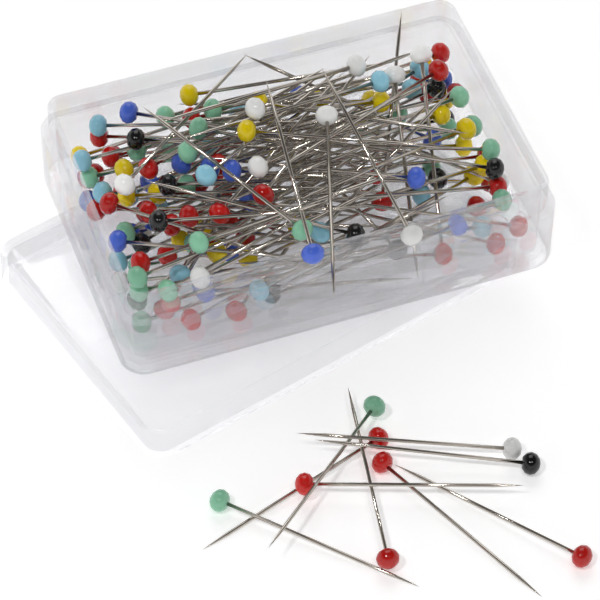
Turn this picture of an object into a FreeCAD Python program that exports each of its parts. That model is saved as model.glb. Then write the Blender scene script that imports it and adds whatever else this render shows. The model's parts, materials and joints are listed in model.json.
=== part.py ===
import FreeCAD, Part
import math
import os
import random

# A clear two-part box of glass-headed dressmaking pins. The box stands askew on its own lid,
# which lies open side down, and nine loose pins lie on the table in front of it.
# Millimetres and degrees. X runs along the box, +Y is its back, +Z is up from the table.

# ------------------------------------------------------------ driving dimensions
# Box: a tray whose wall steps in to a thinner neck, which the lid slides over
box_length = 70.0
box_width = 46.0
corner_radius = 4.0
shoulder_height = 12.1
neck_height = 5.0
neck_wall = 1.0
shoulder_width = 1.3
floor_thickness = 1.4
foot_edge_radius = 1.0
inner_edge_radius = 0.8
rim_edge_radius = 0.2

# Lid: its wall fills the step, so the outside is flush when the box is closed
lid_fit = 0.12
lid_head_gap = 0.3
lid_top_thickness = 1.4
lid_edge_radius = 1.0
lid_turn = 15.0
lid_shift = (-7.0, -3.0)

# Pin: a pointed steel shank with an oblate glass bead melted on its blunt end
pin_length = 34.0
shank_diameter = 0.6
point_length = 4.5
head_diameter = 3.6
head_height = 3.0
head_side_radius = 0.9
head_grip = 2.1

# Gaps between pins that stay put, to pins that are picked up, and to the box
heap_gap = 0.05
free_gap = 0.15
wall_gap = 0.10

# Heap: how many pins lie in the box under the ones placed by hand, and how they are strewn
heap_count = 98
heap_seed = 13
tries_per_pin = 14
steepest_lie = 32.0
top_layer_depth = 5.0     # how far under the rim the pins placed by hand may slip in
easy_turn = 24.0          # how far those pins are turned to lie lower, unless they stand high
highest_easy_peak = 4.5   # over the rim
turn_cost = 0.12          # how much lower such a pin has to lie for each degree it is turned
lifted_turn_cost = 0.3    # the same for a pin that lifts out
heap_colours = {
    "red": 28, "blue": 15, "green": 16, "yellow": 13, "white": 11, "black": 8, "light_blue": 9}

# Pins on top of the heap. Each has its colour, the place of its head as shares of the room that
# heads have inside the neck, from -1 to 1, and the way its point lies from the head.
top_pins = [
    ("yellow", 0.53, 0.33, 165), ("light_blue", -0.86, 0.88, -20), ("light_blue", -1.0, 0.6, -5),
    ("blue", -0.71, 0.81, -32),
    ("black", -0.72, 0.58, -28), ("yellow", -0.82, 0.4, 12), ("light_blue", -0.95, 0.33, -35),
    ("yellow", -0.86, 0.12, -8), ("red", -0.73, 0.2, 20), ("red", -0.8, -0.14, -12),
    ("black", -0.67, 0.0, -10), ("green", -0.44, 0.33, -25), ("green", -0.53, 0.17, 5),
    ("red", -0.36, 0.22, 24), ("blue", -0.45, 0.0, 10), ("blue", -0.36, -0.12, -20),
    ("light_blue", -0.51, -0.2, 30), ("red", -0.98, -0.04, -30), ("red", -0.64, -0.4, 8),
    ("red", -0.5, -0.48, 35), ("white", -0.25, -0.24, 15), ("red", -0.27, -0.46, 40),
    ("yellow", -0.38, 0.87, -8), ("green", -0.29, 0.7, -6), ("yellow", -0.24, 0.08, -25),
    ("white", -0.17, 0.2, 10), ("yellow", -0.11, 0.4, -30), ("green", 0.92, 0.18, 170),
    ("green", 0.96, 0.02, -165), ("red", 0.81, 0.23, 200), ("light_blue", 0.5, 0.25, 175),
    ("green", 0.93, -0.47, 165), ("black", 0.9, -0.68, 150), ("green", 0.89, -0.9, 172),
    ("white", 0.42, 0.45, 190), ("light_blue", -0.04, -0.76, 60),
    ("black", 0.1, -0.95, 98), ("green", -0.17, -0.93, 125), ("yellow", 0.87, -0.18, 160),
    ("blue", 0.5, -0.6, 159), ("blue", -1.0, -0.36, 6), ("green", -0.86, -0.93, 20),
    ("green", -0.99, -0.82, 32), ("red", -0.94, -0.64, 10),
    ("black", -0.81, -0.47, 18), ("white", -0.7, -0.96, 38), ("green", -0.66, -0.74, 15),
    ("white", -0.89, 0.0, 12)]

# Pins whose points stick up out of the heap: colour, place of the head as above, its height
# over the floor, the way the point lies, and how steeply it rises
rising_pins = [
    ("red", 0.37, -0.41, 6.0, 70, 20), ("blue", 0.75, 0.05, 7.0, 122, 17),
    ("yellow", -0.1, -0.5, 7.5, 22, 12)]

# Pins stuck steeply into the heap with their points on the floor: name, colour, place of the
# head, the way the point lies, and how steeply it falls. They pull out along their own length.
stuck_pins = [("white_at_back", "white", 0.76, 0.42, -102, 36), ("white_near_back", "white", 0.6, 0.34, -84, 33)]

# Pins lying free on top, which lift straight out: name, colour, and place and way of the point.
# A place of None is outside, with the pin lying across the front of the rim.
lifted_pins = [
    ("white_in_middle", "white", 0.21, 0.0, -108), ("white_over_rim", "white", 0.32, None, 115),
    ("blue_over_rim", "blue", -0.14, None, 88)]
lift_travel = 40.0

# Loose pins on the table, in the order they were dropped, each on what is already there: name,
# colour, the head's place from the middle of the box's front edge, and the way the point lies
loose_pins = [
    ("red_on_right", "red", 18.6, -49.1, 126.5), ("red_in_middle", "red", -2.8, -23.3, -65),
    ("red_behind", "red", -1.7, -18.8, -163), ("green_on_left", "green", -27.9, -21.9, -45.6),
    ("red_in_front", "red", -8.4, -40.4, 80), ("red_on_left", "red", -15.4, -24.1, -20.5),
    ("green_behind", "green", -0.4, -13.6, -139), ("white_on_top", "white", 16.4, -27.4, 159.5),
    ("black_on_top", "black", 18.0, -30.9, 156.5)]

# ------------------------------------------------------------ worked out from those
neck_length = box_length - 2 * shoulder_width
neck_width = box_width - 2 * shoulder_width
room_length = neck_length - 2 * neck_wall
room_width = neck_width - 2 * neck_wall
neck_radius = corner_radius - shoulder_width
room_radius = neck_radius - neck_wall
rim_height = shoulder_height + neck_height
lid_depth = neck_height + lid_head_gap
lid_height = lid_depth + lid_top_thickness
lid_wall = shoulder_width - lid_fit
floor_z = lid_height + floor_thickness
rim_z = lid_height + rim_height
head_r = head_diameter / 2
shank_r = shank_diameter / 2
tip_reach = pin_length - head_height / 2      # from the middle of the head to the tip
cone_reach = tip_reach - point_length
steel_density = 7.85
glass_density = 2.5


# ------------------------------------------------------------ vectors
def add(a, b, k=1.0):
    return (a[0] + k * b[0], a[1] + k * b[1], a[2] + k * b[2])


def sub(a, b):
    return (a[0] - b[0], a[1] - b[1], a[2] - b[2])


def dot(a, b):
    return a[0] * b[0] + a[1] * b[1] + a[2] * b[2]


def cross(a, b):
    return (a[1] * b[2] - a[2] * b[1], a[2] * b[0] - a[0] * b[2], a[0] * b[1] - a[1] * b[0])


def norm(a):
    return math.sqrt(dot(a, a))


def segment_gap(p, q, r, s):
    """Distance between the segments p-q and r-s."""
    d1 = sub(q, p)
    d2 = sub(s, r)
    w = sub(p, r)
    a = dot(d1, d1)
    e = dot(d2, d2)
    b = dot(d1, d2)
    c = dot(d1, w)
    f = dot(d2, w)
    span = a * e - b * b
    t = min(1.0, max(0.0, (b * f - c * e) / span)) if span > 1e-9 else 0.0
    u = (b * t + f) / e
    if u < 0.0:
        u = 0.0
        t = min(1.0, max(0.0, -c / a))
    elif u > 1.0:
        u = 1.0
        t = min(1.0, max(0.0, (b - c) / a))
    return norm(sub(add(p, d1, t), add(r, d2, u)))


def point_gap(p, r, s):
    """Distance from the point p to the segment r-s."""
    d = sub(s, r)
    t = min(1.0, max(0.0, dot(sub(p, r), d) / dot(d, d)))
    return norm(sub(p, add(r, d, t)))


# ------------------------------------------------------------ pins as lines
def centre_of_mass():
    """How far the pin's balance point is from the middle of its head."""
    head_mass = glass_density * math.pi / 6 * head_diameter ** 2 * head_height
    shank_mass = steel_density * math.pi * shank_r ** 2 * tip_reach
    return shank_mass * tip_reach / 2 / (head_mass + shank_mass)


balance = centre_of_mass()


class Pin:
    def __init__(self, colour, head, way, gap):
        self.colour = colour
        self.head = head
        self.way = way
        self.gap = gap
        self.tip = add(head, way, tip_reach)

    def raised(self, rise):
        return Pin(self.colour, add(self.head, (0, 0, 1), rise), self.way, self.gap)


def heading(azimuth, slope):
    """Unit vector at an azimuth, rising by slope per unit of its level run."""
    level = 1 / math.sqrt(1 + slope * slope)
    a = math.radians(azimuth)
    return (math.cos(a) * level, math.sin(a) * level, slope * level)


def clear_of(pin, others):
    """Whether a pin keeps its gap to every other pin."""
    for other in others:
        gap = max(pin.gap, other.gap)
        reach = head_r + shank_r + gap
        if segment_gap(pin.head, pin.tip, other.head, other.tip) < 2 * shank_r + gap:
            return False
        if norm(sub(pin.head, other.head)) < 2 * head_r + gap:
            return False
        if point_gap(pin.head, other.head, other.tip) < reach:
            return False
        if point_gap(other.head, pin.head, pin.tip) < reach:
            return False
    return True


def inside(x, y, margin):
    """Whether a place keeps a margin from the walls and rounded corners of the box's room."""
    dx = abs(x) - (room_length / 2 - room_radius)
    dy = abs(y) - (room_width / 2 - room_radius)
    if dx > 0 and dy > 0:
        return math.hypot(dx, dy) <= room_radius - margin
    return max(dx, dy) <= room_radius - margin


def over_rim(x, y, azimuth, run, height):
    """Supports where a line over a place passes over the neck's wall."""
    a = math.radians(azimuth)
    step = 0.2
    found = []
    for i in range(int(run / step) + 1):
        px = x + i * step * math.cos(a)
        py = y + i * step * math.sin(a)
        if inside(px, py, -neck_wall - step) and not inside(px, py, step):
            found.append((i * step, height, -1e9))
    return found


def supports(x, y, azimuth, slope, gap, others, ground):
    """What a level line over a place would meet: for each thing, how far along the line it is,
    the least height of the pin's axis to pass over it and the greatest to pass under it."""
    a = math.radians(azimuth)
    c = math.cos(a)
    s = math.sin(a)
    way = heading(azimuth, slope)
    level = math.hypot(way[0], way[1])
    run = tip_reach * level
    lean = 1 / level
    found = [
        (0.0, ground + head_r, -1e9), (run, ground + 0.02, -1e9),
        (cone_reach * level, ground + shank_r * lean, -1e9)]
    for other in others:
        g = max(gap, other.gap)
        ox, oy, oz = other.head
        dx = ox - x
        dy = oy - y
        if dx * dx + dy * dy > (2 * tip_reach + 1) ** 2:
            continue
        along = dx * c + dy * s
        aside = abs(dy * c - dx * s)
        reach = head_r + shank_r + g
        if -reach < along < run + 0.3 and aside < reach:
            room = math.sqrt(reach ** 2 - aside ** 2) * lean
            found.append((min(run, max(0.0, along)), oz + room, oz - room))
        between = math.hypot(dx, dy)
        if between < 2 * head_r + g:
            room = math.sqrt((2 * head_r + g) ** 2 - between ** 2)
            found.append((0.0, oz + room, oz - room))
        wx, wy, wz = other.way
        flat = wx * wx + wy * wy
        if flat < 0.02:
            continue
        t = min(tip_reach, max(0.0, -(dx * wx + dy * wy) / flat))
        off = math.hypot(dx + t * wx, dy + t * wy)
        if off < reach:
            room = math.sqrt(reach ** 2 - off ** 2) / math.sqrt(flat)
            found.append((0.0, oz + t * wz + room, oz + t * wz - room))
        turn = c * wy - s * wx
        if abs(turn) > 0.02:
            mine = (dx * wy - dy * wx) / turn
            theirs = (dx * s - dy * c) / turn
            if -0.3 < mine < run + 0.3 and -0.3 < theirs < tip_reach + 0.3:
                both = cross(way, other.way)
                apart = min(2.5, norm(both) / max(1e-6, abs(both[2])))
                middle = oz + theirs * wz
                room = (2 * shank_r + g) * apart
                found.append((min(run, max(0.0, mine)), middle + room, middle - room))
    return found, run, level


def lowest_gap(found, start):
    """Least height from start up at which a level line meets nothing that it crosses."""
    height = max([start] + [high for t, high, low in found if low < -1e8])
    for t, high, low in sorted(found, key=lambda item: item[2]):
        if low < height < high:
            height = high
    return height


def settle(found, middle):
    """Lowest line that clears every support: its height at the head and its slope."""
    best = None
    for t1, z1, _ in found:
        if t1 > middle:
            continue
        for t2, z2, _ in found:
            if t2 < middle or t2 - t1 < 1e-6:
                continue
            slope = (z2 - z1) / (t2 - t1)
            height = z1 + slope * (middle - t1)
            if best is None or height > best[0]:
                best = (height, z1 - slope * t1, slope)
    return best[1], best[2]


def lay(colour, x, y, azimuth, gap, others, ground, walls, start=None):
    """Drop a pin straight down at a place and azimuth, to lie on what is under it. With a start
    height it slips in between others instead, in the first gap above that height."""
    slope = 0.0
    under = None
    for _ in range(4):
        found, run, level = supports(x, y, azimuth, slope, gap, others, ground)
        if start is not None:
            if under is None:
                under = lowest_gap(found, start)
                base = under
            found = [f for f in found if f[1] <= base + slope * f[0] + 0.35]
        if walls:
            found += over_rim(x, y, azimuth, run, rim_z + (shank_r + gap) / level)
        base, slope = settle(found, balance * level)
    pin = Pin(colour, (x, y, base), heading(azimuth, slope), gap)
    for _ in range(60 if start is None else 4):
        if clear_of(pin, others):
            return pin
        pin = pin.raised(0.05)
    return None


def steepness(pin):
    return abs(math.degrees(math.asin(pin.way[2])))


def head_room_x():
    return room_length / 2 - head_r - wall_gap


def head_room_y():
    return room_width / 2 - head_r - wall_gap


def strewn(rng):
    """A random place and azimuth: most heads lie to the left, with their points to the right."""
    kind = rng.random()
    if kind < 0.68:
        x = rng.uniform(-1.0, -0.28)
        azimuth = rng.gauss(0, 24)
    elif kind < 0.86:
        x = rng.uniform(0.55, 1.0)
        azimuth = 180 + rng.gauss(0, 24)
    else:
        x = rng.uniform(-0.6, 0.9)
        azimuth = rng.uniform(-180, 180)
    return x * head_room_x(), rng.uniform(-1, 1) * head_room_y(), azimuth


def tip_inside(x, y, azimuth):
    a = math.radians(azimuth)
    return inside(x + tip_reach * math.cos(a), y + tip_reach * math.sin(a), 0.25)


def way_out_clear(pin, way, travel, others):
    """Whether a pin clears every other one all along a straight way out."""
    near = [o for o in others if norm(sub(o.head, pin.head)) < 2 * tip_reach + travel]
    step = shank_r
    for i in range(1, int(travel / step) + 1):
        moved = Pin(pin.colour, add(pin.head, way, i * step), pin.way, heap_gap)
        if not clear_of(moved, near):
            return False
    return True


def leaves_free(pin, ways):
    """Whether a pin stays out of the ways out of the pins that are taken out."""
    return all(way_out_clear(other, way, travel, [pin]) for other, way, travel in ways)


def make_heap(placed, ways):
    """Strew pins into the box one by one, each in the lowest of several random places."""
    rng = random.Random(heap_seed)
    names = list(heap_colours)
    weights = [heap_colours[name] for name in names]
    heap = []
    for _ in range(heap_count):
        colour = rng.choices(names, weights)[0]
        best = None
        for _ in range(tries_per_pin):
            x, y, azimuth = strewn(rng)
            if not tip_inside(x, y, azimuth) or not inside(x, y, head_r + wall_gap):
                continue
            pin = lay(colour, x, y, azimuth, heap_gap, placed + heap, floor_z, True, floor_z)
            if pin is None or steepness(pin) > steepest_lie:
                continue
            height = pin.head[2] + pin.way[2] * balance
            if best is None or height < best[0]:
                if leaves_free(pin, ways):
                    best = (height, pin)
        if best:
            heap.append(best[1])
    return heap


def turns(most, step):
    """Angles to try, from none outwards to both sides."""
    yield 0
    for i in range(1, int(most / step) + 1):
        yield i * step
        yield -i * step


def peak(pin):
    return max(pin.head[2] + head_r, pin.tip[2])


def cost(pin, turn, per_degree):
    """How unwelcome a pin's lie is: its highest point, and how far it was turned."""
    return peak(pin) + per_degree * abs(turn)


def low_enough(best, turn):
    """Whether to stop turning a pin: it has a place, and only wide turns are left to try."""
    return best is not None and abs(turn) > easy_turn and peak(best) < rim_z + highest_easy_peak


def lay_in_heap(colour, share_x, share_y, azimuth, others, ways):
    """Slip a pin in near the top of the heap, turned to where it stands up the least."""
    x = share_x * head_room_x()
    y = share_y * head_room_y()
    start = rim_z - top_layer_depth
    best = None
    least = math.inf
    for turn in turns(90, 6):
        if low_enough(best, turn):
            break
        if tip_inside(x, y, azimuth + turn):
            pin = lay(colour, x, y, azimuth + turn, heap_gap, others, floor_z, True, start)
            if pin is not None and steepness(pin) <= steepest_lie and cost(pin, turn, turn_cost) < least:
                if leaves_free(pin, ways):
                    best = pin
                    least = cost(pin, turn, turn_cost)
    if best is None:
        raise RuntimeError("no place for the " + colour + " pin")
    return best


def lay_on_top(colour, share_x, share_y, azimuth, others, ways):
    """Lay a pin on top of the heap, or in near its top, where it stands up the least and can be
    lifted straight out again."""
    shifts = (-1.5, 0.0, 1.5)
    x = share_x * head_room_x()
    y = -(neck_width / 2 + head_r + wall_gap)
    shifts_y = (0.0,)
    if share_y is not None:
        y = share_y * head_room_y()
        shifts_y = shifts
    best = None
    least = math.inf
    for turn in turns(90, 5):
        if low_enough(best, turn):
            break
        for dx in shifts:
            for dy in shifts_y:
                for start in (None, rim_z - top_layer_depth):
                    pin = lay(colour, x + dx, y + dy, azimuth + turn, free_gap, others, floor_z, True, start)
                    if pin is None or steepness(pin) > steepest_lie:
                        continue
                    if cost(pin, turn, lifted_turn_cost) > least - 0.2:
                        continue
                    if share_y is None and not inside(pin.tip[0], pin.tip[1], 0.3):
                        continue
                    if leaves_free(pin, ways) and way_out_clear(pin, (0, 0, 1), lift_travel, others):
                        best = pin
                        least = cost(pin, turn, lifted_turn_cost)
    if best is None:
        raise RuntimeError("no place for the free " + colour + " pin")
    return best


def set_rising(colour, share_x, share_y, height, azimuth, rise, others, ways):
    """Set a pin with its head in the heap and its point in the air."""
    x = share_x * head_room_x()
    y = share_y * head_room_y()
    for turn in turns(90, 3):
        way = heading(azimuth + turn, math.tan(math.radians(rise)))
        pin = Pin(colour, (x, y, floor_z + height), way, heap_gap)
        if inside(pin.tip[0], pin.tip[1], 0.3) and clear_of(pin, others) and leaves_free(pin, ways):
            return pin
    raise RuntimeError("no place for the rising " + colour + " pin")


def stick_in(colour, share_x, share_y, azimuth, fall, others):
    """Stick a pin in with its point on the floor and its head in the air."""
    x = share_x * head_room_x()
    y = share_y * head_room_y()
    for turn in turns(90, 3):
        way = heading(azimuth + turn, -math.tan(math.radians(fall)))
        height = floor_z + 0.1 - way[2] * tip_reach
        pin = Pin(colour, (x, y, height), way, free_gap)
        if inside(pin.tip[0], pin.tip[1], 0.3) and clear_of(pin, others):
            return pin
    raise RuntimeError("no place for the stuck " + colour + " pin")


# ------------------------------------------------------------ solids
def rounded_block(length, width, radius, low, high):
    """Upright block with rounded corners, centred on the Z axis."""
    x = length / 2
    y = width / 2
    k = radius * (1 - math.sqrt(0.5))
    corners = [(x, y), (-x, y), (-x, -y), (x, -y)]
    edges = []
    for i, (cx, cy) in enumerate(corners):
        sx = math.copysign(1, cx)
        sy = math.copysign(1, cy)
        side_x = FreeCAD.Vector(cx, cy - sy * radius, low)
        side_y = FreeCAD.Vector(cx - sx * radius, cy, low)
        bend = FreeCAD.Vector(cx - sx * k, cy - sy * k, low)
        start, end = (side_x, side_y) if i % 2 == 0 else (side_y, side_x)
        if edges:
            edges.append(Part.LineSegment(last, start).toShape())
        else:
            first = start
        edges.append(Part.Arc(start, bend, end).toShape())
        last = end
    edges.append(Part.LineSegment(last, first).toShape())
    face = Part.Face(Part.Wire(edges))
    return face.extrude(FreeCAD.Vector(0, 0, high - low))


def edges_at(shape, z):
    """Edges of a shape that lie level at a height."""
    found = []
    for edge in shape.Edges:
        box = edge.BoundBox
        if abs(box.ZMin - z) < 0.01 and abs(box.ZMax - z) < 0.01:
            found.append(edge)
    return found


def make_box():
    outer = rounded_block(box_length, box_width, corner_radius, 0, shoulder_height)
    outer = outer.makeFillet(foot_edge_radius, edges_at(outer, 0))
    neck = rounded_block(neck_length, neck_width, neck_radius, shoulder_height / 2, rim_height)
    neck = neck.makeFillet(rim_edge_radius, edges_at(neck, rim_height))
    room = rounded_block(room_length, room_width, room_radius, floor_thickness, rim_height + 1)
    room = room.makeFillet(inner_edge_radius, edges_at(room, floor_thickness))
    return outer.fuse(neck).cut(room).removeSplitter()


def make_lid():
    outer = rounded_block(box_length, box_width, corner_radius, 0, lid_height)
    outer = outer.makeFillet(lid_edge_radius, edges_at(outer, lid_height))
    length = box_length - 2 * lid_wall
    width = box_width - 2 * lid_wall
    hollow = rounded_block(length, width, corner_radius - lid_wall, -1, lid_depth)
    hollow = hollow.makeFillet(rim_edge_radius, edges_at(hollow, lid_depth))
    return outer.cut(hollow)


def make_shank():
    """Steel shank along +X from its blunt end in the bead, which is centred on the origin."""
    start = head_height / 2 - head_grip
    x = FreeCAD.Vector(1, 0, 0)
    body = Part.makeCylinder(shank_r, cone_reach - start, FreeCAD.Vector(start, 0, 0), x)
    tip_r = shank_r / 20
    point = Part.makeCone(shank_r, tip_r, point_length, FreeCAD.Vector(cone_reach, 0, 0), x)
    return body.fuse(point)


def make_head():
    """Oblate glass bead with the blind hole that the shank was melted into. Its outline is a wide
    cap at each end, joined round the side by a small arc tangent to both."""
    half_height = head_height / 2
    side_centre = head_r - head_side_radius
    flat = half_height - head_side_radius
    cap_centre = (side_centre ** 2 - flat ** 2) / (2 * flat)
    cap_r = half_height + cap_centre
    join = math.atan2(side_centre, cap_centre)
    mouth = math.asin(shank_r / cap_r)
    bottom = half_height - head_grip

    def at(x, y):
        return FreeCAD.Vector(x, y, 0)

    def on_cap(angle, side):
        return at(side * (cap_r * math.cos(angle) - cap_centre), cap_r * math.sin(angle))

    back = at(-half_height, 0)
    floor = at(bottom, 0)
    wall = at(bottom, shank_r)
    edges = [
        Part.Arc(back, on_cap(join / 2, -1), on_cap(join, -1)).toShape(),
        Part.Arc(on_cap(join, -1), at(0, head_r), on_cap(join, 1)).toShape(),
        Part.Arc(on_cap(join, 1), on_cap((join + mouth) / 2, 1), on_cap(mouth, 1)).toShape(),
        Part.LineSegment(on_cap(mouth, 1), wall).toShape(),
        Part.LineSegment(wall, floor).toShape(),
        Part.LineSegment(floor, back).toShape()]
    face = Part.Face(Part.Wire(edges))
    return face.revolve(FreeCAD.Vector(0, 0, 0), FreeCAD.Vector(1, 0, 0), 360)


def placed_copy(shape, pin):
    copy = shape.copy()
    turn = FreeCAD.Rotation(FreeCAD.Vector(1, 0, 0), FreeCAD.Vector(*pin.way))
    copy.Placement = FreeCAD.Placement(FreeCAD.Vector(*pin.head), turn)
    return copy


# ------------------------------------------------------------ assembly
def arrange():
    """Every pin: the heap, the ones that come out of it by name, and the loose ones by name."""
    single = {}
    ways = []
    for name, colour, *place in stuck_pins:
        pin = stick_in(colour, *place, list(single.values()))
        single[name] = pin
        ways.append((pin, (-pin.way[0], -pin.way[1], -pin.way[2]), tip_reach))
    rising = []
    for colour, *place in rising_pins:
        rising.append(set_rising(colour, *place, rising + list(single.values()), ways))
    stuck = list(single.values())
    heap = rising + make_heap(rising + stuck, ways)
    for colour, *place in top_pins:
        heap.append(lay_in_heap(colour, *place, heap + stuck, ways))
    for name, colour, *place in lifted_pins:
        pin = lay_on_top(colour, *place, heap + list(single.values()), ways)
        single[name] = pin
        ways.append((pin, (0, 0, 1), lift_travel))
    loose = {}
    for name, colour, x, y, azimuth in loose_pins:
        place_y = y - box_width / 2
        loose[name] = lay(colour, x, place_y, azimuth, free_gap, list(loose.values()), 0.0, False)
    return heap, single, loose


def main():
    box = make_box()
    box.translate(FreeCAD.Vector(0, 0, lid_height))
    lid = make_lid()
    lid.rotate(FreeCAD.Vector(0, 0, 0), FreeCAD.Vector(0, 0, 1), lid_turn)
    lid.translate(FreeCAD.Vector(lid_shift[0], lid_shift[1], 0))
    shank = make_shank()
    head = make_head()
    heap, single, loose = arrange()

    parts = {"pin_box": box, "lid": lid}
    for colour in heap_colours:
        pins = [pin for pin in heap if pin.colour == colour]
        parts["heads_" + colour] = Part.makeCompound([placed_copy(head, pin) for pin in pins])
        parts["shanks_" + colour] = Part.makeCompound([placed_copy(shank, pin) for pin in pins])
    for prefix, pins in (("pin_", single), ("loose_", loose)):
        for name, pin in pins.items():
            parts[prefix + name + "_head"] = placed_copy(head, pin)
            parts[prefix + name + "_shank"] = placed_copy(shank, pin)

    # The origin is on the table, under the middle of everything
    whole = Part.makeCompound(list(parts.values())).optimalBoundingBox(False, False)
    origin = FreeCAD.Vector(-whole.Center.x, -whole.Center.y, 0)
    os.makedirs("parts", exist_ok=True)
    for name, shape in parts.items():
        shape.translate(origin)
        shape.exportStep("parts/" + name + ".step")
    print(len(parts), "nodes,", len(heap) + len(single) + len(loose), "pins, moved by", origin)


main()
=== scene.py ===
import json
import math

import bmesh
import bpy
import numpy as np
from bpy.props import FloatProperty, FloatVectorProperty, IntProperty, PointerProperty
from mathutils import Matrix, Vector

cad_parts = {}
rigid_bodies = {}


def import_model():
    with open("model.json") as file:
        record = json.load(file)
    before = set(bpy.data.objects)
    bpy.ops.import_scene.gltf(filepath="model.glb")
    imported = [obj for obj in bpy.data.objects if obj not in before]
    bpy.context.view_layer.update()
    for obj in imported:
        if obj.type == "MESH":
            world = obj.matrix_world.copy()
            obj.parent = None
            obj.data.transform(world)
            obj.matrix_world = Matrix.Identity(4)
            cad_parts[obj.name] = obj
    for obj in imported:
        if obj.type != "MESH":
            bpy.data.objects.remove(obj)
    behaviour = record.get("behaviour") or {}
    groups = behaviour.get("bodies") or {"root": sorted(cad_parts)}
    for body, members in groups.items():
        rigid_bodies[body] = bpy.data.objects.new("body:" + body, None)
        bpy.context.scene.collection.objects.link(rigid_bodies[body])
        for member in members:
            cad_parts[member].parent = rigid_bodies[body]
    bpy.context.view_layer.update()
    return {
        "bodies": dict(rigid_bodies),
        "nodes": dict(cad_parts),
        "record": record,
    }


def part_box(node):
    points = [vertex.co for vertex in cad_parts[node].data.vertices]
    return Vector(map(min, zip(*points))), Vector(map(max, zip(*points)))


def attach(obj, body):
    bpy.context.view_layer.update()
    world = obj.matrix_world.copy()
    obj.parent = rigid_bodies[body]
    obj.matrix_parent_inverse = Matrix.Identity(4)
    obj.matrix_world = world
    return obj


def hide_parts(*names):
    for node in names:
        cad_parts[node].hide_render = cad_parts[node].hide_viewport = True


bl_info = {
    "name": "Box of glass-headed pins",
    "version": (1, 0, 0),
    "blender": (4, 5, 0),
    "location": "View3D > Sidebar > Pin box",
    "description": "Builds a clear box of dressmaking pins standing on its own lid",
    "category": "Object",
}

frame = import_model()

MM = 0.001
COLOURS = ("red", "blue", "green", "yellow", "white", "black", "light_blue")


# ------------------------------------------------------------ colour
def linear(code):
    """Linear colour of an sRGB hex value."""
    channels = [int(code[i:i + 2], 16) / 255 for i in (1, 3, 5)]
    return tuple(c / 12.92 if c <= 0.04045 else ((c + 0.055) / 1.055) ** 2.4 for c in channels)


def rgba(colour):
    return (*colour, 1.0)


# ------------------------------------------------------------ settings
def length(name, description, millimetres):
    return FloatProperty(
        name=name, description=description, default=millimetres * MM,
        subtype="DISTANCE", unit="LENGTH")


def tint(name, description, code):
    return FloatVectorProperty(
        name=name, description=description, default=linear(code),
        size=3, min=0.0, max=1.0, subtype="COLOR")


class ClearBoxSettings(bpy.types.PropertyGroup):
    """Sizes of the moulded tray and lid that their outside boxes don't give."""
    corner_radius: length("Corner radius", "Radius of the upright corners", 4.0)
    shoulder_height: length("Shoulder height", "Height of the ledge over the tray's bottom", 12.1)
    shoulder_width: length("Shoulder width", "Width of the ledge that the lid rests on", 1.3)
    neck_wall: length("Neck wall", "Thickness of the wall above the ledge", 1.0)
    floor_thickness: length("Floor thickness", "Thickness of the tray's floor", 1.4)
    foot_edge: length("Foot edge radius", "Radius round the tray's bottom edge", 1.0)
    inner_edge: length("Inner edge radius", "Radius between the floor and the wall", 0.8)
    rim_edge: length("Rim edge radius", "Radius on the neck's rim", 0.2)
    crisp_edge: length("Crisp edge radius", "Radius that moulding leaves on a sharp edge", 0.12)
    lid_turn: FloatProperty(
        name="Lid turn", description="How far the lid is turned under the tray",
        default=math.radians(15.0), subtype="ANGLE", unit="ROTATION")
    lid_size_x: length("Lid length", "Length of the lid before it is turned", 70.0)
    lid_size_y: length("Lid width", "Width of the lid before it is turned", 46.0)
    lid_wall: length("Lid wall", "Thickness of the lid's wall", 1.18)
    lid_depth: length("Lid depth", "Depth of the lid's hollow", 5.3)
    lid_edge: length("Lid edge radius", "Radius round the lid's top edge", 1.0)
    corner_steps: IntProperty(
        name="Corner steps", description="Flats round each corner", default=12, min=4, max=32)
    plastic: tint("Polystyrene", "Tint of the clear polystyrene", "#F6F6F7")


class PinSettings(bpy.types.PropertyGroup):
    """Sizes and colours of the glass-headed pins."""
    pin_length: length("Pin length", "Whole length of a pin", 34.0)
    shank_diameter: length("Shank diameter", "Diameter of the steel wire", 0.6)
    point_length: length("Point length", "Length of the ground point", 4.5)
    head_diameter: length("Head diameter", "Diameter of the glass bead", 3.6)
    head_height: length("Head height", "Height of the bead along the pin", 3.0)
    head_grip: length("Head grip", "How far the wire reaches into the bead", 2.1)
    dimple: length("Dimple depth", "Depth of the dimple where the wire enters the bead", 0.3)
    head_segments: IntProperty(
        name="Head segments", description="Flats round a bead", default=12, min=8, max=48)
    head_rings: IntProperty(
        name="Head rings", description="Rings of faces on a bead", default=6, min=4, max=24)
    shank_sides: IntProperty(
        name="Shank sides", description="Flats round a shank", default=8, min=5, max=24)
    seed: IntProperty(
        name="Seed", description="Seed of the beads' small colour differences", default=4, min=0)
    red: tint("Red", "Colour of the red beads", "#C4140C")
    blue: tint("Blue", "Colour of the blue beads", "#4565CC")
    green: tint("Green", "Colour of the green beads", "#86C4A2")
    yellow: tint("Yellow", "Colour of the yellow beads", "#F0D400")
    white: tint("White", "Colour of the white beads", "#F2F2F0")
    black: tint("Black", "Colour of the black beads", "#08080A")
    light_blue: tint("Light blue", "Colour of the light blue beads", "#93CEE2")
    steel: tint("Nickel", "Colour of the nickel-plated shanks", "#B8B1A8")


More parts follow.
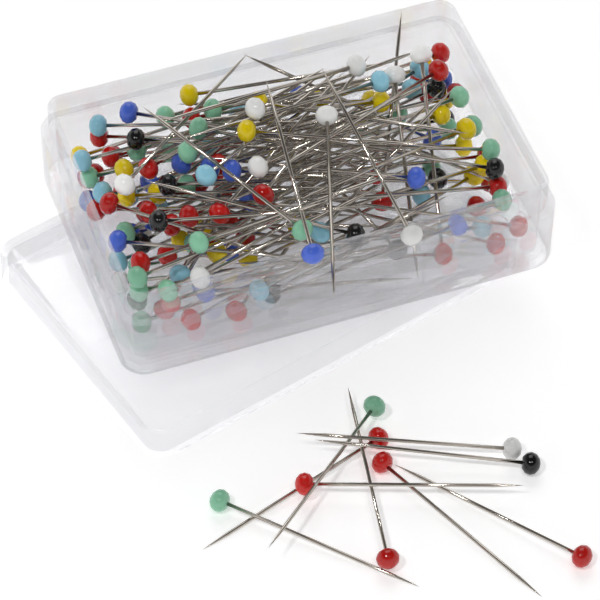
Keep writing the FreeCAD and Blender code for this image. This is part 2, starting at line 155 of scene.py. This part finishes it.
class StageSettings(bpy.types.PropertyGroup):
    """The camera, lights and floor."""
    azimuth: FloatProperty(
        name="Azimuth", description="Way the camera looks, from +Y towards -X",
        default=math.radians(-20.28), subtype="ANGLE", unit="ROTATION")
    elevation: FloatProperty(
        name="Elevation", description="How far the camera looks down",
        default=math.radians(49.96), subtype="ANGLE", unit="ROTATION")
    roll: FloatProperty(
        name="Roll", description="Turn of the camera about its own axis",
        default=math.radians(0.63), subtype="ANGLE", unit="ROTATION")
    distance: length("Distance", "How far the tray's bottom is along the camera's axis", 517.77)
    tray_aside: length("Tray aside", "How far right of that axis the tray's bottom is", -0.755)
    tray_above: length("Tray above", "How far above that axis the tray's bottom is", 13.07)
    focal_length: FloatProperty(
        name="Focal length", description="Focal length of the lens in millimetres",
        default=198.4, min=10.0)
    floor: tint("Floor", "Colour of the table top", "#FFFFFF")


# ------------------------------------------------------------ meshes
def finished(name, mesh, body, slot_name, *nodes):
    """Adds a mesh as a piece that rides on a body and stands for CAD nodes."""
    piece = bpy.data.objects.new(name, mesh)
    bpy.context.scene.collection.objects.link(piece)
    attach(piece, body)
    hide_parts(*nodes)
    return piece


def ring(half_x, half_y, radius, z, steps):
    """Level outline of a rounded rectangle, counter-clockwise."""
    points = []
    for quarter in range(4):
        sign_x = (1, -1, -1, 1)[quarter]
        sign_y = (1, 1, -1, -1)[quarter]
        for i in range(steps + 1):
            a = math.pi / 2 * (quarter + i / steps)
            x = sign_x * (half_x - radius) + radius * math.cos(a)
            y = sign_y * (half_y - radius) + radius * math.sin(a)
            points.append((x, y, z))
    return points


def bend(inset, z, radius, start, end, steps=4):
    """Insets and heights round a quarter circle, between two angles in degrees."""
    found = []
    for i in range(steps + 1):
        a = math.radians(start + (end - start) * i / steps)
        found.append((inset + radius * math.cos(a), z + radius * math.sin(a)))
    return found


def moulded(name, half_x, half_y, radius, outline, steps):
    """Closed shell through level rings, from one flat face to the other. The outline lists how
    far each ring is inside the widest one and its height."""
    least_radius = 0.1 * MM
    sharpest_smooth = math.radians(40)
    points = []
    for inset, z in outline:
        round_off = max(radius - inset, least_radius)
        points += ring(half_x - inset, half_y - inset, round_off, z, steps)
    count = 4 * (steps + 1)
    faces = [tuple(reversed(range(count)))]
    for level in range(len(outline) - 1):
        base = level * count
        for i in range(count):
            j = (i + 1) % count
            faces.append((base + i, base + j, base + j + count, base + i + count))
    last = (len(outline) - 1) * count
    faces.append(tuple(range(last, last + count)))
    mesh = bpy.data.meshes.new(name)
    mesh.from_pydata(points, [], faces)
    work = bmesh.new()
    work.from_mesh(mesh)
    bmesh.ops.recalc_face_normals(work, faces=work.faces)
    work.to_mesh(mesh)
    work.free()
    mesh.shade_smooth()
    mesh.set_sharp_from_angle(angle=sharpest_smooth)
    return mesh


def tray_outline(s, height):
    """Section of the tray, from the middle of its bottom round the rim to the middle of its
    floor."""
    crisp_steps = 2
    rim_steps = 3
    crisp = s.crisp_edge
    neck = s.shoulder_width
    room = neck + s.neck_wall
    outline = bend(s.foot_edge, s.foot_edge, s.foot_edge, 270, 180)
    outline += bend(crisp, s.shoulder_height - crisp, crisp, 180, 90, crisp_steps)
    outline += [(neck - crisp, s.shoulder_height)]
    outline += bend(neck - crisp, s.shoulder_height + crisp, crisp, 270, 360, crisp_steps)[1:]
    outline += bend(neck + s.rim_edge, height - s.rim_edge, s.rim_edge, 180, 90, rim_steps)
    outline += bend(room - s.rim_edge, height - s.rim_edge, s.rim_edge, 90, 0, rim_steps)
    outline += bend(room + s.inner_edge, s.floor_thickness + s.inner_edge, s.inner_edge, 180, 270)
    return outline


def lid_outline(s, height):
    """Section of the lid, from the middle of its top down to the rim and up to its ceiling."""
    crisp_steps = 2
    crisp = s.crisp_edge
    inner = s.rim_edge
    outline = bend(s.lid_edge, height - s.lid_edge, s.lid_edge, 90, 180)
    outline += bend(crisp, crisp, crisp, 180, 270, crisp_steps)
    outline += bend(s.lid_wall - crisp, crisp, crisp, 270, 360, crisp_steps)
    outline += bend(s.lid_wall + inner, s.lid_depth - inner, inner, 180, 90, crisp_steps)
    return outline


# ------------------------------------------------------------ node trees
def add(tree, kind, values=None, **settings):
    """Adds a node, with its settings and with values or links for its inputs."""
    node = tree.nodes.new(kind)
    for name, value in settings.items():
        setattr(node, name, value)
    for name, value in (values or {}).items():
        if isinstance(value, bpy.types.NodeSocket):
            tree.links.new(value, node.inputs[name])
        else:
            node.inputs[name].default_value = value
    return node


def material(name):
    """A new material with an empty tree and its output node."""
    made = bpy.data.materials.new(name)
    made.use_nodes = True
    tree = made.node_tree
    tree.nodes.clear()
    return made, tree, add(tree, "ShaderNodeOutputMaterial")


def clear_polystyrene(colour):
    """Injection-moulded crystal polystyrene: clear walls with a faint milky haze, which bend and
    mirror what is round them at corners and edges and go pale lilac-grey there. Lamps shine
    through it."""
    made, tree, output = material("clear_polystyrene")
    unbent = 0.74
    haze = 0.04
    plastic = add(tree, "ShaderNodeBsdfPrincipled", {
        "Base Color": rgba(colour), "Roughness": 0.03, "IOR": 1.59, "Transmission Weight": 1.0})
    milky = add(tree, "ShaderNodeBsdfDiffuse", {"Color": rgba(colour)})
    body = add(tree, "ShaderNodeMixShader", {0: haze, 1: plastic.outputs[0], 2: milky.outputs[0]})
    through = add(tree, "ShaderNodeBsdfTransparent", {"Color": rgba(colour)})
    path = add(tree, "ShaderNodeLightPath")
    share = add(tree, "ShaderNodeMath", {
        0: path.outputs["Is Shadow Ray"], 1: unbent}, operation="MAXIMUM")
    both = add(tree, "ShaderNodeMixShader", {
        0: share.outputs[0], 1: body.outputs[0], 2: through.outputs[0]})
    tree.links.new(both.outputs[0], output.inputs["Surface"])
    return made


def bead_glass(name, colour):
    """Opaque soda-lime glass, melted onto the pin and fire-polished: a deep, even colour under a
    mirror-smooth skin with small sharp highlights. Each bead is a little lighter or darker."""
    made, tree, output = material(name)
    tone = add(tree, "ShaderNodeAttribute", attribute_name="tone")
    darkest = 0.82
    lightest = 1.12
    least_light = 0.004
    darker = tuple(darkest * c for c in colour)
    lighter = tuple(min(1.0, lightest * c + least_light) for c in colour)
    mixed = add(tree, "ShaderNodeMix", {
        "Factor": tone.outputs["Fac"], "A": rgba(darker), "B": rgba(lighter)}, data_type="RGBA")
    glass = add(tree, "ShaderNodeBsdfPrincipled", {
        "Base Color": mixed.outputs["Result"], "Roughness": 0.03, "IOR": 1.52})
    tree.links.new(glass.outputs[0], output.inputs["Surface"])
    return made


def nickel_plated_steel(colour):
    """Drawn and polished steel wire with a bright nickel plate: long streaks of light and dark
    with a warm grey between them."""
    made, tree, output = material("nickel_plated_steel")
    metal = add(tree, "ShaderNodeBsdfPrincipled", {
        "Base Color": rgba(colour), "Metallic": 1.0, "Roughness": 0.13})
    tree.links.new(metal.outputs[0], output.inputs["Surface"])
    return made


def white_laminate(colour):
    """Matt white table top that glows a little, so that shadows on it stay faint."""
    made, tree, output = material("white_laminate")
    glow = 0.32
    top = add(tree, "ShaderNodeBsdfPrincipled", {
        "Base Color": rgba(colour), "Roughness": 0.9, "Specular IOR Level": 0.0,
        "Emission Color": rgba(colour), "Emission Strength": glow})
    tree.links.new(top.outputs[0], output.inputs["Surface"])
    return made


def new_tree(name, inputs):
    """A geometry node tree with a geometry input and output and further named inputs."""
    tree = bpy.data.node_groups.new(name, "GeometryNodeTree")
    tree.interface.new_socket("Geometry", in_out="INPUT", socket_type="NodeSocketGeometry")
    for label, kind in inputs:
        tree.interface.new_socket(label, in_out="INPUT", socket_type="NodeSocket" + kind)
    tree.interface.new_socket("Geometry", in_out="OUTPUT", socket_type="NodeSocketGeometry")
    return tree, add(tree, "NodeGroupInput").outputs


def placed_along_pins(tree, given, shape):
    """Puts a shape with its Z axis along each pin, then ends the tree."""
    way = add(tree, "GeometryNodeInputNamedAttribute", {"Name": "way"}, data_type="FLOAT_VECTOR")
    turn = add(tree, "FunctionNodeAlignRotationToVector", {
        "Vector": way.outputs["Attribute"]}, axis="Z")
    pins = add(tree, "GeometryNodeInstanceOnPoints", {
        "Points": given["Geometry"], "Instance": shape, "Rotation": turn.outputs["Rotation"]})
    tone = add(tree, "FunctionNodeRandomValue", {"Seed": given["Seed"]}, data_type="FLOAT")
    toned = add(tree, "GeometryNodeStoreNamedAttribute", {
        "Geometry": pins.outputs["Instances"], "Name": "tone", "Value": tone.outputs[1]},
        data_type="FLOAT", domain="INSTANCE")
    solid = add(tree, "GeometryNodeRealizeInstances", {"Geometry": toned.outputs["Geometry"]})
    smooth = add(tree, "GeometryNodeSetShadeSmooth", {"Geometry": solid.outputs["Geometry"]})
    painted = add(tree, "GeometryNodeSetMaterial", {
        "Geometry": smooth.outputs["Geometry"], "Material": given["Material"]})
    add(tree, "NodeGroupOutput", {"Geometry": painted.outputs["Geometry"]})


def head_tree():
    """Tree that puts an oblate bead, with a dimple where the wire enters it, on each pin."""
    tree, given = new_tree("pin_heads", [
        ("Diameter", "Float"), ("Height", "Float"), ("Dimple", "Float"), ("Segments", "Int"),
        ("Rings", "Int"), ("Seed", "Int"), ("Material", "Material")])
    ball = add(tree, "GeometryNodeMeshUVSphere", {
        "Segments": given["Segments"], "Rings": given["Rings"], "Radius": 1.0})
    position = add(tree, "GeometryNodeInputPosition").outputs["Position"]
    place = add(tree, "ShaderNodeSeparateXYZ", {"Vector": position}).outputs
    across = add(tree, "ShaderNodeMath", {0: given["Diameter"], 1: 2.0}, operation="DIVIDE")
    along = add(tree, "ShaderNodeMath", {0: given["Height"], 1: 2.0}, operation="DIVIDE")
    x = add(tree, "ShaderNodeMath", {0: place["X"], 1: across.outputs[0]}, operation="MULTIPLY")
    y = add(tree, "ShaderNodeMath", {0: place["Y"], 1: across.outputs[0]}, operation="MULTIPLY")
    z = add(tree, "ShaderNodeMath", {0: place["Z"], 1: along.outputs[0]}, operation="MULTIPLY")
    near_pole = 0.94
    dip = add(tree, "ShaderNodeMapRange", {
        "Value": place["Z"], "From Min": near_pole, "From Max": 1.0,
        "To Min": 0.0, "To Max": given["Dimple"]})
    dipped = add(tree, "ShaderNodeMath", {
        0: z.outputs[0], 1: dip.outputs["Result"]}, operation="SUBTRACT")
    shaped = add(tree, "ShaderNodeCombineXYZ", {
        "X": x.outputs[0], "Y": y.outputs[0], "Z": dipped.outputs[0]})
    bead = add(tree, "GeometryNodeSetPosition", {
        "Geometry": ball.outputs["Mesh"], "Position": shaped.outputs["Vector"]})
    placed_along_pins(tree, given, bead.outputs["Geometry"])
    return tree


def shank_tree():
    """Tree that puts a round wire with a slightly rounded ground point on each pin."""
    tree, given = new_tree("pin_shanks", [
        ("Diameter", "Float"), ("Start", "Float"), ("Reach", "Float"), ("Point", "Float"),
        ("Sides", "Int"), ("Seed", "Int"), ("Material", "Material")])
    bands = 4
    wire = add(tree, "GeometryNodeMeshCylinder", {
        "Vertices": given["Sides"], "Side Segments": bands, "Radius": 1.0, "Depth": 1.0})
    position = add(tree, "GeometryNodeInputPosition").outputs["Position"]
    place = add(tree, "ShaderNodeSeparateXYZ", {"Vector": position}).outputs
    first = 1 / bands       # the first band is the straight wire, the others are the point
    below_middle = 0.5
    share = add(tree, "ShaderNodeMath", {
        0: place["Z"], 1: below_middle}, operation="ADD").outputs[0]
    cone = add(tree, "ShaderNodeMath", {
        0: given["Reach"], 1: given["Point"]}, operation="SUBTRACT")
    straight = add(tree, "ShaderNodeMapRange", {
        "Value": share, "From Min": 0.0, "From Max": first,
        "To Min": given["Start"], "To Max": cone.outputs[0]})
    ground = add(tree, "ShaderNodeMapRange", {
        "Value": share, "From Min": first, "From Max": 1.0,
        "To Min": 0.0, "To Max": given["Point"]})
    z = add(tree, "ShaderNodeMath", {
        0: straight.outputs["Result"], 1: ground.outputs["Result"]}, operation="ADD")
    taper = add(tree, "ShaderNodeMapRange", {
        "Value": share, "From Min": first, "From Max": 1.0, "To Min": 1.0, "To Max": 0.0})
    fullness = 0.8
    full = add(tree, "ShaderNodeMath", {
        0: taper.outputs["Result"], 1: fullness}, operation="POWER")
    thin_tip = 0.04
    thick = add(tree, "ShaderNodeMath", {0: full.outputs[0], 1: thin_tip}, operation="MAXIMUM")
    half = add(tree, "ShaderNodeMath", {0: given["Diameter"], 1: 2.0}, operation="DIVIDE")
    radius = add(tree, "ShaderNodeMath", {
        0: half.outputs[0], 1: thick.outputs[0]}, operation="MULTIPLY")
    x = add(tree, "ShaderNodeMath", {0: place["X"], 1: radius.outputs[0]}, operation="MULTIPLY")
    y = add(tree, "ShaderNodeMath", {0: place["Y"], 1: radius.outputs[0]}, operation="MULTIPLY")
    shaped = add(tree, "ShaderNodeCombineXYZ", {
        "X": x.outputs[0], "Y": y.outputs[0], "Z": z.outputs[0]})
    shank = add(tree, "GeometryNodeSetPosition", {
        "Geometry": wire.outputs["Mesh"], "Position": shaped.outputs["Vector"]})
    placed_along_pins(tree, given, shank.outputs["Geometry"])
    return tree


def grown(name, points, tree, values):
    """Mesh that a node tree makes on some points."""
    carrier = bpy.data.objects.new(name, points)
    bpy.context.scene.collection.objects.link(carrier)
    modifier = carrier.modifiers.new(name, "NODES")
    modifier.node_group = tree
    sockets = {
        item.name: item.identifier
        for item in tree.interface.items_tree if item.in_out == "INPUT"}
    for label, value in values.items():
        modifier[sockets[label]] = value
    depsgraph = bpy.context.evaluated_depsgraph_get()
    mesh = bpy.data.meshes.new_from_object(carrier.evaluated_get(depsgraph), depsgraph=depsgraph)
    mesh.name = name
    carrier.modifiers.remove(modifier)
    bpy.data.objects.remove(carrier)
    bpy.data.meshes.remove(points)
    return mesh


# ------------------------------------------------------------ pins
def loose_parts(node):
    """The vertices of each separate solid of a CAD node."""
    work = bmesh.new()
    work.from_mesh(frame["nodes"][node].data)
    same_place = 0.001 * MM
    bmesh.ops.remove_doubles(work, verts=work.verts, dist=same_place)
    seen = set()
    found = []
    for first in work.verts:
        if first in seen:
            continue
        seen.add(first)
        waiting = [first]
        part = []
        while waiting:
            vert = waiting.pop()
            part.append(tuple(vert.co))
            for edge in vert.link_edges:
                other = edge.other_vert(vert)
                if other not in seen:
                    seen.add(other)
                    waiting.append(other)
        found.append(np.array(part))
    work.free()
    return found


def line_of(part, reach):
    """Middle of the head and way of the point, from the vertices of one shank."""
    middle = part.mean(axis=0)
    axis = np.linalg.svd(part - middle)[2][0]
    along = (part - middle) @ axis
    off = np.linalg.norm(part - middle - np.outer(along, axis), axis=1)
    end_slice = 0.05 * MM
    last = along > along.max() - end_slice
    first = along < along.min() + end_slice
    tip, blunt = (last, first) if off[last].mean() < off[first].mean() else (first, last)
    point = part[tip].mean(axis=0)
    way = point - part[blunt].mean(axis=0)
    way /= np.linalg.norm(way)
    return point - way * reach, way


def pin_points(name, shank_node, reach):
    """A vertex at the head of each pin of a CAD node, with the way of its point."""
    lines = [line_of(part, reach) for part in loose_parts(shank_node)]
    mesh = bpy.data.meshes.new(name)
    mesh.from_pydata([tuple(head) for head, way in lines], [], [])
    ways = mesh.attributes.new("way", "FLOAT_VECTOR", "POINT")
    ways.data.foreach_set("vector", np.array([way for head, way in lines]).ravel())
    return mesh


def add_pins(head_node, shank_node, colour, body):
    """Glass heads and steel shanks in the places of a pair of CAD nodes."""
    s = bpy.context.scene.pin_settings
    reach = s.pin_length - s.head_height / 2
    points = pin_points("heads", shank_node, reach)
    heads = grown(head_node + "_glass", points, trees["heads"], {
        "Diameter": s.head_diameter, "Height": s.head_height, "Dimple": s.dimple,
        "Segments": s.head_segments, "Rings": s.head_rings, "Seed": s.seed + len(head_node),
        "Material": materials["glass_" + colour]})
    finished(head_node + "_glass", heads, body, "glass_" + colour, head_node)
    points = pin_points("shanks", shank_node, reach)
    shanks = grown(shank_node + "_steel", points, trees["shanks"], {
        "Diameter": s.shank_diameter, "Start": s.head_height / 2 - s.head_grip, "Reach": reach,
        "Point": s.point_length, "Sides": s.shank_sides, "Seed": s.seed,
        "Material": materials["nickel_plated_steel"]})
    finished(shank_node + "_steel", shanks, body, "nickel_plated_steel", shank_node)


def colour_of(node):
    """Colour of a single pin, from the record's slot for its head."""
    for entry in frame["record"]["subparts"]:
        if entry["node"] == node:
            return entry["material_slot"].removeprefix("glass_")
    raise RuntimeError("no colour for " + node)


materials = {}
trees = {}


# ------------------------------------------------------------ operators
class PINBOX_OT_finishes(bpy.types.Operator):
    """Makes the materials and the node trees that the pieces share"""
    bl_idname = "pinbox.finishes"
    bl_label = "Make finishes"

    def execute(self, context):
        s = context.scene.pin_settings
        materials["clear_polystyrene"] = clear_polystyrene(context.scene.clear_box_settings.plastic)
        materials["nickel_plated_steel"] = nickel_plated_steel(s.steel)
        for colour in COLOURS:
            materials["glass_" + colour] = bead_glass("glass_" + colour, getattr(s, colour))
        trees["heads"] = head_tree()
        trees["shanks"] = shank_tree()
        return {"FINISHED"}


class PINBOX_OT_tray(bpy.types.Operator):
    """Adds the clear tray that holds the pins"""
    bl_idname = "pinbox.tray"
    bl_label = "Add tray"

    def execute(self, context):
        s = context.scene.clear_box_settings
        low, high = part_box("pin_box")
        half = (Vector(high) - Vector(low)) / 2
        outline = tray_outline(s, high[2] - low[2])
        mesh = moulded("tray", half.x, half.y, s.corner_radius, outline, s.corner_steps)
        mesh.transform(Matrix.Translation((low[0] + half.x, low[1] + half.y, low[2])))
        mesh.materials.append(materials["clear_polystyrene"])
        finished("tray", mesh, "box", "clear_polystyrene", "pin_box")
        return {"FINISHED"}


class PINBOX_OT_lid(bpy.types.Operator):
    """Adds the clear lid that the tray stands on"""
    bl_idname = "pinbox.lid"
    bl_label = "Add lid"

    def execute(self, context):
        s = context.scene.clear_box_settings
        low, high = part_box("lid")
        middle = (Vector(high) + Vector(low)) / 2
        outline = lid_outline(s, high[2] - low[2])
        half_x = s.lid_size_x / 2
        half_y = s.lid_size_y / 2
        mesh = moulded("lid_shell", half_x, half_y, s.corner_radius, outline, s.corner_steps)
        turn = Matrix.Rotation(s.lid_turn, 4, "Z")
        mesh.transform(Matrix.Translation((middle.x, middle.y, low[2])) @ turn)
        mesh.materials.append(materials["clear_polystyrene"])
        finished("lid_shell", mesh, "lid", "clear_polystyrene", "lid")
        return {"FINISHED"}


class PINBOX_OT_heap(bpy.types.Operator):
    """Adds the heap of pins that stays in the tray"""
    bl_idname = "pinbox.heap"
    bl_label = "Add heap of pins"

    def execute(self, context):
        for colour in COLOURS:
            add_pins("heads_" + colour, "shanks_" + colour, colour, "box")
        return {"FINISHED"}


class PINBOX_OT_single_pins(bpy.types.Operator):
    """Adds the pins that are taken out of the heap and the loose ones on the table"""
    bl_idname = "pinbox.single_pins"
    bl_label = "Add single pins"

    def execute(self, context):
        for body in frame["bodies"]:
            if body.startswith(("pin_", "loose_")):
                add_pins(body + "_head", body + "_shank", colour_of(body + "_head"), body)
        return {"FINISHED"}


def soft_box(name, way, distance, size, power):
    """A square lamp that looks at the middle of the tray from one direction."""
    low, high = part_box("pin_box")
    target = (Vector(low) + Vector(high)) / 2
    lamp = bpy.data.lights.new(name, "AREA")
    lamp.shape = "SQUARE"
    lamp.size = size
    lamp.energy = power
    holder = bpy.data.objects.new(name, lamp)
    holder.location = target + Vector(way).normalized() * distance
    holder.rotation_euler = Vector(way).to_track_quat("Z", "Y").to_euler()
    bpy.context.scene.collection.objects.link(holder)


class PINBOX_OT_stage(bpy.types.Operator):
    """Adds the table top, the lamps and the camera"""
    bl_idname = "pinbox.stage"
    bl_label = "Add stage"

    def execute(self, context):
        scene = context.scene
        s = scene.stage_settings
        side = 6.0
        half = side / 2
        top = bpy.data.meshes.new("table_top")
        corners = [(-half, -half, 0), (half, -half, 0), (half, half, 0), (-half, half, 0)]
        top.from_pydata(corners, [], [(0, 1, 2, 3)])
        top.materials.append(white_laminate(s.floor))
        table = bpy.data.objects.new("table_top", top)
        scene.collection.objects.link(table)

        level = Vector((-math.sin(s.azimuth), math.cos(s.azimuth), 0))
        forward = level * math.cos(s.elevation) - Vector((0, 0, math.sin(s.elevation)))
        right = Vector((level.y, -level.x, 0))
        up = right.cross(forward)
        turned_right = right * math.cos(s.roll) + up * math.sin(s.roll)
        turned_up = up * math.cos(s.roll) - right * math.sin(s.roll)
        low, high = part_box("pin_box")
        tray = Vector(((low[0] + high[0]) / 2, (low[1] + high[1]) / 2, low[2]))
        place = tray - forward * s.distance - turned_right * s.tray_aside - turned_up * s.tray_above
        lens = bpy.data.cameras.new("camera")
        lens.lens = s.focal_length
        camera = bpy.data.objects.new("camera", lens)
        axes = Matrix((turned_right, turned_up, -forward)).transposed().to_4x4()
        camera.matrix_world = Matrix.Translation(place) @ axes
        scene.collection.objects.link(camera)
        scene.camera = camera

        key_way = turned_up * 0.25 - turned_right * 0.32 - forward
        fill_way = turned_up * 0.22 + turned_right * 0.20 - forward
        overhead_way = (0.2, 0.7, 0.9)
        soft_box("key", key_way, distance=0.7, size=0.07, power=1.1)
        soft_box("fill", fill_way, distance=0.7, size=0.05, power=0.45)
        soft_box("overhead", overhead_way, distance=0.9, size=0.6, power=2.0)

        world = bpy.data.worlds.new("studio")
        world.use_nodes = True
        sky = world.node_tree
        way = add(sky, "ShaderNodeTexCoord").outputs["Generated"]
        height = add(sky, "ShaderNodeSeparateXYZ", {"Vector": way}).outputs["Z"]
        backdrop_top = 0.25
        ceiling_start = 0.6
        backdrop_light = 1.0
        ceiling_light = 0.12
        light = add(sky, "ShaderNodeMapRange", {
            "Value": height, "From Min": backdrop_top, "From Max": ceiling_start,
            "To Min": backdrop_light, "To Max": ceiling_light}).outputs["Result"]
        sky.nodes["Background"].inputs["Color"].default_value = rgba(linear("#FFFFFF"))
        sky.links.new(light, sky.nodes["Background"].inputs["Strength"])
        scene.world = world
        scene.view_settings.view_transform = "Standard"
        bounces = 32            # enough for a ray to pass all the clear walls one behind another
        scene.cycles.transparent_max_bounces = bounces
        scene.cycles.max_bounces = bounces
        scene.cycles.transmission_bounces = bounces
        return {"FINISHED"}


OPERATORS = (
    PINBOX_OT_finishes, PINBOX_OT_tray, PINBOX_OT_lid, PINBOX_OT_heap, PINBOX_OT_single_pins,
    PINBOX_OT_stage)


class PINBOX_PT_panel(bpy.types.Panel):
    """Lists the pieces in the order they are added"""
    bl_idname = "PINBOX_PT_panel"
    bl_label = "Pin box"
    bl_space_type = "VIEW_3D"
    bl_region_type = "UI"
    bl_category = "Pin box"

    def draw(self, context):
        for operator in OPERATORS:
            self.layout.operator(operator.bl_idname)


CLASSES = (ClearBoxSettings, PinSettings, StageSettings, *OPERATORS, PINBOX_PT_panel)


def register():
    for item in CLASSES:
        bpy.utils.register_class(item)
    bpy.types.Scene.clear_box_settings = PointerProperty(type=ClearBoxSettings)
    bpy.types.Scene.pin_settings = PointerProperty(type=PinSettings)
    bpy.types.Scene.stage_settings = PointerProperty(type=StageSettings)


def unregister():
    del bpy.types.Scene.stage_settings
    del bpy.types.Scene.pin_settings
    del bpy.types.Scene.clear_box_settings
    for item in reversed(CLASSES):
        bpy.utils.unregister_class(item)


def main():
    register()
    bpy.ops.pinbox.finishes()
    bpy.ops.pinbox.tray()
    bpy.ops.pinbox.lid()
    bpy.ops.pinbox.heap()
    bpy.ops.pinbox.single_pins()
    bpy.ops.pinbox.stage()


if __name__ == "__main__":
    main()
